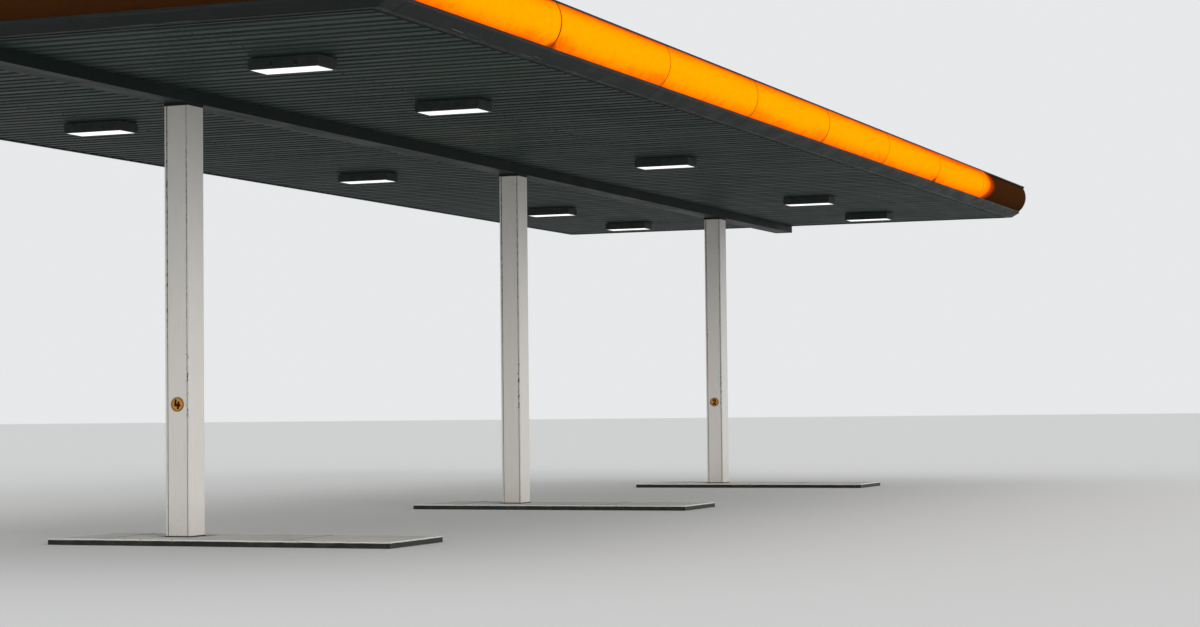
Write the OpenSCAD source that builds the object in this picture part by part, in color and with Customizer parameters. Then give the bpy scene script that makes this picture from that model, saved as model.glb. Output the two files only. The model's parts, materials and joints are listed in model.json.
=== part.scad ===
// Filling station canopy: three steel columns in a row on low raised islands carry
// a flat roof with a ribbed soffit, surface lights and a bulged light-box fascia.
// The row of columns runs along X, the lit front fascia faces -Y, and Z is up.
// The origin is on the ground under the middle column.

/* [Layout] */
// Distance between the centres of neighbouring columns
bay = 8000; // [6600:100:9600]
// Length of the soffit along the row of columns
soffit_length = 23400; // [19500:100:28100]
// Width of the soffit across the row
soffit_width = 7920; // [6600:20:9520]
// Height of the soffit's underside above the ground
soffit_height = 4350; // [3600:50:5250]

/* [Islands] */
// Width of an island along the row
island_width = 1120; // [900:10:1360]
// How far an island's middle stands from its column's along the row
island_shift = -30; // [-200:10:200]
// How far an island reaches forward of its column's centre
island_front = 2480; // [2000:20:3000]
// How far an island reaches behind its column's centre
island_rear = 1160; // [900:20:1600]
// Height of an island's top above the ground
island_height = 60; // [50:5:150]
// Width of the steel nosing's top leg
nosing_leg = 55; // [40:5:80]
// Thickness of the steel nosing
nosing_thick = 6; // [4:1:10]

/* [Columns] */
// Width of a column's flanges along the row
column_flange = 280; // [220:10:340]
// Depth of a column's section across the row
column_depth = 260; // [210:10:264]
// Thickness of the flanges
flange_thick = 18; // [12:1:24]
// Thickness of the web
web_thick = 10; // [8:1:16]
// How far a closing panel sits inside the flange tips
panel_inset = 6; // [3:1:15]
// Open groove between a closing panel and each flange
panel_groove = 8; // [5:1:15]
// Sheet thickness of the closing panels
panel_thick = 4; // [3:1:6]
// Thickness of a column's cap plate
cap_thick = 20; // [15:1:30]
// How far a cap plate reaches past the flanges along the row
cap_overhang = 30; // [10:5:60]

/* [Number plates] */
// Diameter of a number plate
number_diameter = 140; // [100:2:180]
// Thickness of a number plate
number_thick = 5; // [3:1:8]
// Height of a number plate's centre above the island
number_height = 1270; // [1100:10:1700]

/* [Spine beam and casing] */
// Width of the spine beam's flanges
spine_width = 200; // [160:10:240]
// How far the spine beam reaches below the soffit
spine_drop = 60; // [40:5:80]
// Height of the roof's low line above the soffit, along the spine beam
valley_rise = 365; // [300:5:370]
// Thickness of the spine beam's flanges
spine_flange = 20; // [12:1:26]
// Thickness of the spine beam's web
spine_web = 12; // [8:1:16]
// Width of the casing under the spine beam
casing_width = 290; // [290:2:330]
// How far the casing hangs below the soffit
casing_drop = 115; // [100:5:150]
// Sheet thickness of the casing
casing_thick = 4; // [3:1:6]
// Clearance between the casing's cut-outs and a column
casing_clearance = 2; // [1:1:6]

/* [Roof framing] */
// Height of the rails that carry the soffit
rail_size = 40; // [30:5:50]
// Width of the cross beams' flanges
cross_width = 110; // [90:5:140]
// Plate thickness of the cross beams
cross_thick = 8; // [6:1:12]
// Flange width of the edge beams
edge_beam_flange = 70; // [50:5:90]
// Plate thickness of the edge beams
edge_beam_thick = 8; // [6:1:12]
// Fall of the roof from its long edges to the gutter
roof_fall = 70; // [40:5:80]
// Height of the gutter
gutter_height = 80; // [60:5:120]
// Sheet thickness of the gutter
gutter_thick = 3; // [2:1:5]
// How far the roof sheets reach over the gutter
gutter_overlap = 20; // [10:5:60]
// Clearance between a roof sheet's edges and the light box
roof_clearance = 4; // [2:1:10]

/* [Ribbed sheets] */
// Distance between neighbouring ribs
rib_pitch = 205; // [170:5:246]
// Height of the ribs
rib_height = 30; // [20:1:40]
// Mean width of the flats that face the ground
rib_flat = 112; // [80:2:130]
// How much wider every second one of those flats is than the one beside it
rib_step = 26; // [0:2:40]
// Width of the flat at the back of a rib
rib_back = 45; // [30:1:50]
// Thickness of the sheet
sheet_thick = 3; // [2:1:5]

/* [Fascia] */
// Height of the bottom rail
rail_rise = 100; // [80:5:120]
// How far the bottom rail reaches out from the soffit's edge
rail_reach = 120; // [100:5:150]
// Height of the rail's upright lip
rail_lip = 30; // [20:2:50]
// Wall thickness of the bottom rail
rail_wall = 5; // [3:1:8]
// Height of a light-box panel's top above the soffit
fascia_top = 500; // [480:5:560]
// How much farther out a panel's top stands than its foot
fascia_lean = 60; // [0:5:80]
// How far a panel bulges out from the line between its edges
fascia_bulge = 80; // [50:5:100]
// Thickness of the translucent panels
fascia_thick = 6; // [4:1:8]
// Width of a panel's inner lips
fascia_lip = 28; // [15:1:40]
// Gap between neighbouring panels
fascia_gap = 8; // [6:1:14]
// Thickness of the formers in the gaps
former_thick = 6; // [3:1:6]
// Straight length of a corner panel on each side of its corner
corner_leg = 300; // [200:10:420]
// Number of panels along each end
end_panels = 3; // [2:1:4]
// Thickness of the light box's back plate
back_thick = 4; // [3:1:6]
// Clearance between the coping's outer lip and the panels
coping_gap = 19; // [12:1:40]
// How far the coping reaches in over the roof
coping_inner = 70; // [40:5:90]
// Depth of the coping's lips
coping_lip = 14; // [8:1:20]
// Sheet thickness of the coping
coping_thick = 4; // [3:1:6]

/* [Luminaires] */
// Width of a luminaire along the row
light_width = 340; // [280:5:410]
// Length of a luminaire across the row
light_length = 700; // [580:5:840]
// Height of a luminaire
light_height = 110; // [90:5:130]
// Height of the plate that holds a luminaire off the soffit
light_spacer = 12; // [6:1:20]
// How far that plate stands inside the luminaire
light_recess = 22; // [10:2:40]
// Width of the frame round a luminaire's lens
light_frame = 24; // [18:1:40]
// Thickness of a luminaire's lens
lens_thick = 8; // [5:1:12]
// How far a lens sits inside its frame
lens_inset = 3; // [0:1:8]
// Clearance round a lens
lens_clearance = 0.3; // [0.2:0.1:0.6]
// Distance of each row of luminaires from the row of columns
light_row = 2070; // [1700:10:2500]
// Distance of the outer luminaires from the soffit's ends
light_end = 2090; // [1700:10:2500]
// Distance of the middle luminaires inside the outer columns
light_bay = 1740; // [1450:10:2090]

/* [Hidden] */
$fn = 96;

half_length = soffit_length / 2;
half_width = soffit_width / 2;
column_places = [-bay, 0, bay];
front_panels = 8;
front_panel_length = (soffit_length - 2 * corner_leg) / front_panels;
end_panel_length = (soffit_width - 2 * corner_leg) / end_panels;
column_top = soffit_height - spine_drop - cap_thick;
sheet_top = rib_height + sheet_thick;
beam_base = sheet_top + rail_size;
spine_top = valley_rise - gutter_height;
cross_root = spine_width / 2;
cross_tip = half_width - edge_beam_thick - edge_beam_flange;
roof_angle = atan(roof_fall / (cross_tip - cross_root));
spine_end = half_length - edge_beam_thick - edge_beam_flange;
light_places = [
    -half_length + light_end, -bay + light_bay, 0, bay - light_bay, half_length - light_end
];
cross_places = [-bay, -bay / 2, 0, bay / 2, bay];
arc_foot = [rail_reach, rail_rise];
arc_top = [rail_reach + fascia_lean, fascia_top];
chord = norm(arc_top - arc_foot);
outward = [arc_top[1] - arc_foot[1], arc_foot[0] - arc_top[0]] / chord;
arc_radius = (chord * chord / 4 + fascia_bulge * fascia_bulge) / (2 * fascia_bulge);
arc_centre = (arc_foot + arc_top) / 2 - outward * (arc_radius - fascia_bulge);
coping_line = arc_centre[0] + sqrt(pow(arc_radius, 2) - pow(fascia_top - coping_lip - arc_centre[1], 2));
coping_reach = coping_line + coping_gap + coping_thick;
rail_places = [casing_width / 2 + 20, half_width / 2, half_width - edge_beam_thick - rail_size - 10];

// Height of the roof sheets' underside above the soffit, at a distance from the row's centre
function roof_line(y) = valley_rise + (y - cross_root) * tan(roof_angle);

// An I-section with its flanges across Y, centred on the origin
module i_section(width, depth, flange, web) {
    for (side = [-1, 1])
        translate([-width / 2, side * (depth - flange) / 2 - flange / 2]) square([width, flange]);
    translate([-web / 2, -depth / 2]) square([web, depth]);
}

// Turns a profile's first axis to Y and its second to Z, and extrudes it along X
module along_x(length) {
    translate([-length / 2, 0, 0]) rotate([90, 0, 90]) linear_extrude(length) children();
}

// Puts children, made with +Y outward from the soffit's edge, on one side of the roof
module on_side(side) {
    turn = side == "rear" ? 0 : side == "near" ? 90 : side == "front" ? 180 : 270;
    reach = side == "rear" || side == "front" ? half_width : half_length;
    rotate([0, 0, turn]) translate([0, reach, soffit_height]) children();
}

// Runs a profile round the whole roof, with a quarter turn about each soffit corner
module round_roof() {
    for (side = ["front", "rear"]) on_side(side) along_x(soffit_length) children();
    for (side = ["near", "far"]) on_side(side) along_x(soffit_width) children();
    for (x = [-1, 1], y = [-1, 1]) {
        turn = x > 0 ? (y > 0 ? 0 : 270) : (y > 0 ? 90 : 180);
        translate([x * half_length, y * half_width, soffit_height])
            rotate([0, 0, turn]) rotate_extrude(angle = 90) children();
    }
}

module island_outline(x, inset) {
    translate([x + island_shift - island_width / 2 + inset, -island_front + inset])
        square([island_width - 2 * inset, island_front + island_rear - 2 * inset]);
}

// Concrete of one island, inside its steel nosing
module island(x) {
    color("darkgray") {
        linear_extrude(island_height - nosing_thick) island_outline(x, nosing_thick);
        linear_extrude(island_height) island_outline(x, nosing_leg);
    }
}

// Steel angle round the top edge of one island
module nosing(x) {
    color("gainsboro") {
        linear_extrude(island_height) difference() {
            island_outline(x, 0);
            island_outline(x, nosing_thick);
        }
        translate([0, 0, island_height - nosing_thick]) linear_extrude(nosing_thick) difference() {
            island_outline(x, 0);
            island_outline(x, nosing_leg);
        }
    }
}

module column(x) {
    color("lightgray") translate([x, 0, island_height])
        linear_extrude(column_top - island_height)
            i_section(column_flange, column_depth, flange_thick, web_thick);
}

// Folded panels that close both sides of one column between its flanges
module column_panels(x) {
    face = column_depth - 2 * flange_thick - 2 * panel_groove;
    outer = column_flange / 2 - panel_inset;
    depth = outer - web_thick / 2;
    color("whitesmoke") translate([x, 0, island_height])
        linear_extrude(soffit_height - casing_drop - island_height)
            for (side = [0, 180]) rotate(side) translate([web_thick / 2, -face / 2]) {
                translate([depth - panel_thick, 0]) square([panel_thick, face]);
                square([depth, panel_thick]);
                translate([0, face - panel_thick]) square([depth, panel_thick]);
            }
}

module cap_plates() {
    length = column_flange + 2 * cap_overhang;
    color("dimgray") for (x = column_places)
        translate([x - length / 2, -column_depth / 2, column_top])
            cube([length, column_depth, cap_thick]);
}

// Round plates on the near sides of the outer columns, for their numbers
module number_plates() {
    color("peru") for (x = [column_places[0], column_places[2]])
        translate([x - column_flange / 2 + panel_inset, 0, island_height + number_height])
            rotate([0, -90, 0]) cylinder(d = number_diameter, h = number_thick);
}

module spine_beam() {
    depth = spine_top + spine_drop;
    color("dimgray") translate([0, 0, soffit_height - spine_drop + depth / 2])
        along_x(2 * spine_end) i_section(spine_width, depth, spine_flange, spine_web);
}

// Trough of dark sheet that hides the spine beam below the soffit
module spine_casing() {
    side = casing_drop + beam_base;
    cut = column_flange / 2 + casing_clearance;
    color("darkslategray") difference() {
        translate([0, 0, soffit_height - casing_drop]) {
            along_x(soffit_length) {
                translate([-casing_width / 2, 0]) square([casing_width, casing_thick]);
                for (edge = [-casing_width / 2, casing_width / 2 - casing_thick])
                    translate([edge, 0]) square([casing_thick, side]);
            }
            for (x = [-half_length, half_length - casing_thick])
                translate([x, -casing_width / 2, 0]) cube([casing_thick, casing_width, casing_drop]);
        }
        for (x = column_places)
            translate([x - cut, -column_depth / 2 - casing_clearance, soffit_height - casing_drop - 1])
                cube([2 * cut, column_depth + 2 * casing_clearance, casing_thick + 2]);
    }
}

// Cantilever beams from the spine beam to one long edge, their tops at the roof's slope
module cross_beams(side) {
    base = beam_base + cross_thick / 2;
    top = [[cross_tip, roof_line(cross_tip)], [cross_root, roof_line(cross_root)]];
    inside = [for (p = top) p - [0, cross_thick / 2]];
    color("dimgray") scale_y(side) for (x = cross_places) translate([x, 0, soffit_height]) {
        along_x(cross_thick) polygon(concat([[cross_root, base], [cross_tip, base]], inside));
        along_x(cross_width) difference() {
            polygon(concat([[cross_root, beam_base], [cross_tip, beam_base]], top));
            polygon([
                [cross_root + cross_thick, beam_base + cross_thick],
                [cross_tip - cross_thick, beam_base + cross_thick],
                top[0] - [cross_thick, 1.5 * cross_thick], top[1] + [cross_thick, -1.5 * cross_thick]
            ]);
        }
    }
}

// Mirrors children to the front when side is -1
module scale_y(side) {
    if (side < 0) mirror([0, 1, 0]) children();
    else children();
}

// Channels round the roof's edge, open towards the inside
module edge_beams() {
    color("dimgray") {
        for (side = ["front", "rear"])
            on_side(side) along_x(soffit_length) edge_channel(roof_line(cross_tip));
        for (side = ["near", "far"])
            on_side(side) along_x(soffit_width - 2 * edge_beam_flange) edge_channel(spine_top);
    }
}

module edge_channel(top) {
    translate([-edge_beam_thick, beam_base]) square([edge_beam_thick, top - beam_base]);
    for (v = [beam_base, top - edge_beam_thick])
        translate([-edge_beam_thick - edge_beam_flange, v]) square([edge_beam_flange, edge_beam_thick]);
}

// Hollow rails along the roof that the soffit sheets hang from
module soffit_rails() {
    wall = 3;
    color("silver") for (side = [-1, 1]) scale_y(side) for (y = rail_places)
        translate([0, 0, soffit_height]) along_x(soffit_length) difference() {
            translate([y, sheet_top]) square([rail_size, rail_size]);
            translate([y + wall, sheet_top + wall]) square(rail_size - 2 * wall);
        }
}

// Trapezoidal sheet in the XY plane with its ribs up, running from the origin along +Y
module ribbed_sheet(length, width) {
    ribs = floor((length - rib_pitch) / rib_pitch);
    slope = (rib_pitch - rib_flat - rib_back) / 2;
    start = -ribs * rib_pitch / 2;
    shift = [rib_step / 4, -rib_step / 4];
    lower = [for (i = [0:ribs - 1]) let (x = start + i * rib_pitch + rib_flat / 2 + shift[i % 2]) each [
        [x, 0], [x + slope, rib_height],
        [x + slope + rib_back, rib_height], [x + 2 * slope + rib_back, 0]
    ]];
    path = concat([[-length / 2, 0]], lower, [[length / 2, 0]]);
    upper = [for (i = [len(path) - 1:-1:0]) path[i] + [0, sheet_thick]];
    translate([0, width, 0]) rotate([90, 0, 0]) linear_extrude(width) polygon(concat(path, upper));
}

// Level sheet on one side of the casing, its ribs running across the row
module soffit(side) {
    color("slategray") scale_y(side) translate([0, casing_width / 2, soffit_height])
        ribbed_sheet(soffit_length, half_width - casing_width / 2);
}

// Sloping sheet from one long edge of the roof down to the gutter
module roof_deck(side) {
    low = cross_root - gutter_overlap;
    width = (half_width - roof_clearance - low) / cos(roof_angle);
    color("gray") scale_y(side) translate([0, low, soffit_height + roof_line(low)])
        rotate([roof_angle, 0, 0]) ribbed_sheet(soffit_length - 2 * roof_clearance, width);
}

// Box gutter on the spine beam, with an end plate at each end
module roof_gutter() {
    height = roof_line(cross_root - gutter_thick) - spine_top;
    color("silver") translate([0, 0, soffit_height + spine_top]) difference() {
        along_x(2 * spine_end) translate([-cross_root, 0]) square([spine_width, height]);
        translate([0, 0, gutter_thick]) along_x(2 * spine_end - 2 * gutter_thick)
            translate([gutter_thick - cross_root, 0])
                square([spine_width - 2 * gutter_thick, gutter_height]);
    }
}

// Section of the hollow dark rail below the light box
module rail_section() {
    knee = rail_rise - rail_lip;
    square([rail_wall, rail_rise]);
    translate([0, rail_rise - rail_wall]) square([rail_reach, rail_wall]);
    translate([rail_reach - rail_wall, knee]) square([rail_wall, rail_lip]);
    polygon([[0, 0], [rail_reach, knee], [rail_reach, knee + rail_wall], [0, rail_wall]]);
}

// Region between the light box's foot and top edges and an arc that bulges out from them
module bulge(depth) {
    intersection() {
        translate(arc_centre) circle(arc_radius - depth);
        polygon([arc_foot, arc_top, arc_top + 2 * fascia_bulge * outward, arc_foot + 2 * fascia_bulge * outward]);
    }
}

// Section of a bulged translucent panel, with a lip along its foot and its top
module fascia_section() {
    lip = fascia_lip + fascia_thick / 2;
    difference() {
        bulge(0);
        bulge(fascia_thick);
    }
    translate([arc_foot[0] - fascia_lip, arc_foot[1]]) square([lip, fascia_thick]);
    translate([arc_top[0] - fascia_lip, arc_top[1] - fascia_thick]) square([lip, fascia_thick]);
}

// Section of a former, from the back plate to a panel's outer face
module former_section() {
    bulge(0);
    polygon([[back_thick, rail_rise], arc_foot, arc_top, [back_thick, fascia_top]]);
}

module fascia_rail() {
    color("darkslategray") round_roof() rail_section();
}

module fascia_back() {
    color("white") round_roof()
        translate([0, rail_rise]) square([back_thick, fascia_top - rail_rise]);
}

// Folded cap over the light box and the roof's edge
module fascia_coping() {
    inner_length = soffit_length - 2 * coping_inner;
    inner_width = soffit_width - 2 * coping_inner;
    color("darkslategray") {
        round_roof() {
            translate([0, fascia_top]) square([coping_reach, coping_thick]);
            translate([coping_reach - coping_thick, fascia_top - coping_lip])
                square([coping_thick, coping_lip]);
        }
        translate([0, 0, soffit_height + fascia_top]) linear_extrude(coping_thick) difference() {
            square([soffit_length, soffit_width], center = true);
            square([inner_length, inner_width], center = true);
        }
        translate([0, 0, soffit_height + fascia_top - coping_lip]) linear_extrude(coping_lip) difference() {
            square([inner_length + 2 * coping_thick, inner_width + 2 * coping_thick], center = true);
            square([inner_length, inner_width], center = true);
        }
    }
}

// One straight panel, its middle at a distance along its side
module fascia_panel(side, length, place) {
    on_side(side) translate([place, 0, 0]) along_x(length - fascia_gap) fascia_section();
}

// The front is turned half round, so its panels are counted from the far end back
module fascia_front(number) {
    place = (front_panels + 1) / 2 - number;
    color("orange") fascia_panel("front", front_panel_length, place * front_panel_length);
}

// Plates across the light box that the ends of neighbouring panels meet at
module fascia_formers() {
    color("saddlebrown") {
        for (side = ["front", "rear"], i = [0:front_panels])
            former(side, (i - front_panels / 2) * front_panel_length);
        for (side = ["near", "far"], i = [0:end_panels])
            former(side, (i - end_panels / 2) * end_panel_length);
    }
}

module former(side, place) {
    on_side(side) translate([place, 0, 0]) along_x(former_thick) former_section();
}

module fascia_rear() {
    color("orange") for (i = [1:front_panels])
        fascia_panel("rear", front_panel_length, (i - (front_panels + 1) / 2) * front_panel_length);
}

module fascia_end(side) {
    color("orange") for (i = [1:end_panels])
        fascia_panel(side, end_panel_length, (i - (end_panels + 1) / 2) * end_panel_length);
}

// Curved corner panels with a straight leg on each side
module fascia_corners() {
    leg = corner_leg - fascia_gap / 2;
    color("orange") for (x = [-1, 1], y = [-1, 1]) {
        turn = x > 0 ? (y > 0 ? 0 : 270) : (y > 0 ? 90 : 180);
        translate([x * half_length, y * half_width, soffit_height]) rotate([0, 0, turn]) {
            rotate_extrude(angle = 90) fascia_section();
            translate([-leg / 2, 0, 0]) along_x(leg) fascia_section();
            translate([0, -leg / 2, 0]) rotate([0, 0, 270]) along_x(leg) fascia_section();
        }
    }
}

module light_outline(inset) {
    square([light_width - 2 * inset, light_length - 2 * inset], center = true);
}

// Puts children on the underside of every luminaire in one row
module at_lights(side) {
    for (x = light_places) translate([x, side * light_row, soffit_height - light_height]) children();
}

// Box housings, open below, each on a smaller plate that leaves a shadow gap
module luminaires(side) {
    body = light_height - light_spacer;
    color("darkslategray") at_lights(side) difference() {
        union() {
            linear_extrude(body) light_outline(0);
            linear_extrude(light_height) light_outline(light_recess);
        }
        translate([0, 0, -1]) linear_extrude(body - light_frame + 1) light_outline(light_frame);
    }
}

module lenses(side) {
    color("white") at_lights(side) translate([0, 0, lens_inset])
        linear_extrude(lens_thick) light_outline(light_frame + lens_clearance);
}

island(column_places[0]);  // island_1
island(column_places[1]);  // island_2
island(column_places[2]);  // island_3
nosing(column_places[0]);  // nosing_1
nosing(column_places[1]);  // nosing_2
nosing(column_places[2]);  // nosing_3
column(column_places[0]);  // column_1
column(column_places[1]);  // column_2
column(column_places[2]);  // column_3
column_panels(column_places[0]);  // column_panels_1
column_panels(column_places[1]);  // column_panels_2
column_panels(column_places[2]);  // column_panels_3
cap_plates();
number_plates();
spine_beam();
spine_casing();
cross_beams(-1);  // cross_beams_front
cross_beams(1);  // cross_beams_rear
edge_beams();
soffit_rails();
soffit(-1);  // soffit_front
soffit(1);  // soffit_rear
roof_deck(-1);  // roof_deck_front
roof_deck(1);  // roof_deck_rear
roof_gutter();
fascia_rail();
fascia_back();
fascia_formers();
fascia_coping();
fascia_front(1);  // fascia_front_1
fascia_front(2);  // fascia_front_2
fascia_front(3);  // fascia_front_3
fascia_front(4);  // fascia_front_4
fascia_front(5);  // fascia_front_5
fascia_front(6);  // fascia_front_6
fascia_front(7);  // fascia_front_7
fascia_front(8);  // fascia_front_8
fascia_rear();
fascia_end("near");  // fascia_near_end
fascia_end("far");  // fascia_far_end
fascia_corners();
luminaires(-1);  // luminaires_front
luminaires(1);  // luminaires_rear
lenses(-1);  // lenses_front
lenses(1);  // lenses_rear
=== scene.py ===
import json
import math

import bmesh
import bpy
from mathutils import Matrix, Vector


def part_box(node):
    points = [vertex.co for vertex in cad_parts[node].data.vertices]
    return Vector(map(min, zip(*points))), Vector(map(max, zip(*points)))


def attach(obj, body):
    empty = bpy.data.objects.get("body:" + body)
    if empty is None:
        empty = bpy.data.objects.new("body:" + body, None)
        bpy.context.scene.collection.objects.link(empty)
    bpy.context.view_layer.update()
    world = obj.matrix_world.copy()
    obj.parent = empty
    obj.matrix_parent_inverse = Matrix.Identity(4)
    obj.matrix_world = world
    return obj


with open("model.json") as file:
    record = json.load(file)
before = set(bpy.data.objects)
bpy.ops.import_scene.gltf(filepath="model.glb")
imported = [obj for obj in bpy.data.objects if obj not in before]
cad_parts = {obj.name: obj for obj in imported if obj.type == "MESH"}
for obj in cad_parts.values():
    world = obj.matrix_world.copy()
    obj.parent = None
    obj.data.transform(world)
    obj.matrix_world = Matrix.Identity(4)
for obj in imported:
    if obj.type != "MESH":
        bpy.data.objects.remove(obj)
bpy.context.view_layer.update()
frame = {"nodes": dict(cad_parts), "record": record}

# ---- Camera, fitted to the photograph ----

EYE = Vector((-28.345, -12.297, 1.245))
HEADING = math.radians(21.433)
PITCH = math.radians(2.244)
ROLL = math.radians(-0.619)
LENS_MM = 72.84

# ---- Sizes that the frame gives ----


def middle_x(node):
    low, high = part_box(node)
    return (low.x + high.x) / 2


SOFFIT_LOW, SOFFIT_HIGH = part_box("soffit_rear")
SOFFIT_Z = SOFFIT_LOW.z
HALF_LENGTH, HALF_WIDTH = SOFFIT_HIGH.x, SOFFIT_HIGH.y
FASCIA_LOW, FASCIA_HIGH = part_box("fascia_front_1")
LAST_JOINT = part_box("fascia_front_8")[0].x
CASING_LOW, CASING_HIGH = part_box("spine_casing")
ISLAND_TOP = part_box("island_1")[1].z
COLUMNS = [middle_x(f"column_{n}") for n in (1, 2, 3)]
LAMP_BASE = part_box("luminaires_front")[0].z
PLATE_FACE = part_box("number_plates")[0].x - COLUMNS[0]

# ---- Sizes in metres that repeat the CAD source's ----

RIB_PITCH, RIB_COUNT = 0.205, 114
FIRST_FLAT = -(RIB_COUNT - 1) / 2 * RIB_PITCH
RAILS = (0.185, 2.0, 3.922)
COLUMN_HALF, COLUMN_GROOVE = (0.14, 0.13), 0.108
FRONT_PANEL, FRONT_JOINTS = 2.85, 9
END_PANEL, END_JOINTS = 2.44, 4
FASCIA_FOOT, FASCIA_TOP, FASCIA_BULGE = Vector((0.12, 0.10)), Vector((0.18, 0.50)), 0.08
LIP_OUT, LIP_FOOT, LIP_HEAD = 0.2121, 0.486, 0.504
LAMP_X = (2.09 - HALF_LENGTH, COLUMNS[0] + 1.74, 0.0, COLUMNS[2] - 1.74, HALF_LENGTH - 2.09)
LAMP_Y = (-2.07, 2.07)
LAMP_HALF, DIFFUSER_HALF, FLUTES = (0.17, 0.35), (0.1525, 0.3325), 16
PLATE_HEIGHT = ISLAND_TOP + 1.27
VALLEY_RISE, ROOF_SLOPE, GUTTER_FLOOR, SHEET = 0.365, 0.070 / 3.782, 0.288, 0.003

# ---- Fixings, in metres ----

RAIL_FACE = 0.1216
COVER_WIDTH = 0.07
RIVET_PAIR = (-0.022, 0.022)


# ---- Shader building ----

class Signal:
    """An output of a shader node that Python's operators work on."""

    def __init__(self, finish, socket):
        self.finish = finish
        self.socket = socket

    def out(self, name):
        return Signal(self.finish, self.socket.node.outputs[name])

    def maths(self, operation, *others):
        return self.finish.maths(operation, self, *others)

    def __add__(self, other):
        return self.finish.maths("ADD", self, other)

    def __sub__(self, other):
        return self.finish.maths("SUBTRACT", self, other)

    def __rsub__(self, other):
        return self.finish.maths("SUBTRACT", other, self)

    def __mul__(self, other):
        return self.finish.maths("MULTIPLY", self, other)

    def __abs__(self):
        return self.finish.maths("ABSOLUTE", self)

    __radd__ = __add__
    __rmul__ = __mul__


class Finish:
    """One material, with its Principled shader's constants and the nodes that vary it."""

    def __init__(self, name, **constants):
        self.material = bpy.data.materials.new(name)
        self.material.use_nodes = True
        self.tree = self.material.node_tree
        self.shader = self.tree.nodes["Principled BSDF"]
        for socket, value in constants.items():
            self.shader.inputs[socket.replace("_", " ")].default_value = value

    def node(self, kind, settings=None, sockets=None):
        """Adds a node, makes its settings, then fills its sockets, and returns its first output."""
        added = self.tree.nodes.new(kind)
        for name, value in (settings or {}).items():
            if name == "stops":
                ramp = added.color_ramp.elements
                while len(ramp) < len(value):
                    ramp.new(0.5)
                for element, (place, colour) in zip(ramp, value):
                    element.position = place
                    element.color = colour
            else:
                setattr(added, name, value)
        for key, value in (sockets or {}).items():
            if isinstance(value, Signal):
                self.tree.links.new(value.socket, added.inputs[key])
            else:
                added.inputs[key].default_value = value
        return Signal(self, added.outputs[0])

    def maths(self, operation, *values):
        return self.node("ShaderNodeMath", {"operation": operation}, dict(enumerate(values)))

    def place(self):
        """Object coordinates, in metres in the canopy's own frame."""
        return self.node("ShaderNodeTexCoord").out("Object")

    def axes(self):
        apart = self.node("ShaderNodeSeparateXYZ", None, {0: self.place()})
        return apart.out("X"), apart.out("Y"), apart.out("Z")

    def stretched(self, scale):
        return self.node("ShaderNodeMapping", None, {"Vector": self.place(), "Scale": scale})

    def noise(self, scale, detail=3.0, stretch=(1, 1, 1), roughness=0.55):
        return self.node("ShaderNodeTexNoise", None, {
            "Vector": self.stretched(stretch), "Scale": scale, "Detail": detail, "Roughness": roughness,
        })

    def repeat(self, value, distance):
        """Distance from the nearest whole multiple of a distance."""
        return self.maths("PINGPONG", value, distance / 2)

    def between(self, value, low, high, to_low=0.0, to_high=1.0):
        """Maps low..high to to_low..to_high smoothly, and holds the ends."""
        return self.node("ShaderNodeMapRange", {"interpolation_type": "SMOOTHSTEP"}, {
            0: value, 1: low, 2: high, 3: to_low, 4: to_high,
        })

    def mix(self, factor, first, second):
        mixed = self.node("ShaderNodeMix", {"data_type": "RGBA"}, {0: factor, 6: first, 7: second})
        return Signal(self, mixed.socket.node.outputs[2])

    def edges(self, radius):
        """Near 1 along outer and inner corners within a radius, and 0 on flat faces."""
        rounded = self.node("ShaderNodeBevel", {"samples": 4}, {"Radius": radius})
        flat = self.node("ShaderNodeNewGeometry").out("Normal")
        dot = self.node("ShaderNodeVectorMath", {"operation": "DOT_PRODUCT"}, {0: rounded, 1: flat})
        return self.between(dot.out("Value"), 0.99, 0.8)

    def paint(self, colour=None, roughness=None, **others):
        for name, value in {"Base Color": colour, "Roughness": roughness, **others}.items():
            if isinstance(value, Signal):
                self.tree.links.new(value.socket, self.shader.inputs[name.replace("_", " ")])

    def relief(self, height, distance, corner=0.0):
        """Bump of a height in metres, over corners rounded to a radius."""
        sockets = {"Height": height, "Distance": distance}
        if corner:
            sockets["Normal"] = self.node("ShaderNodeBevel", {"samples": 6}, {"Radius": corner})
        bump = self.node("ShaderNodeBump", None, sockets)
        self.tree.links.new(bump.socket, self.shader.inputs["Normal"])


def rgb(red, green, blue):
    return (red, green, blue, 1.0)


# ---- Finishes ----

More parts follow.
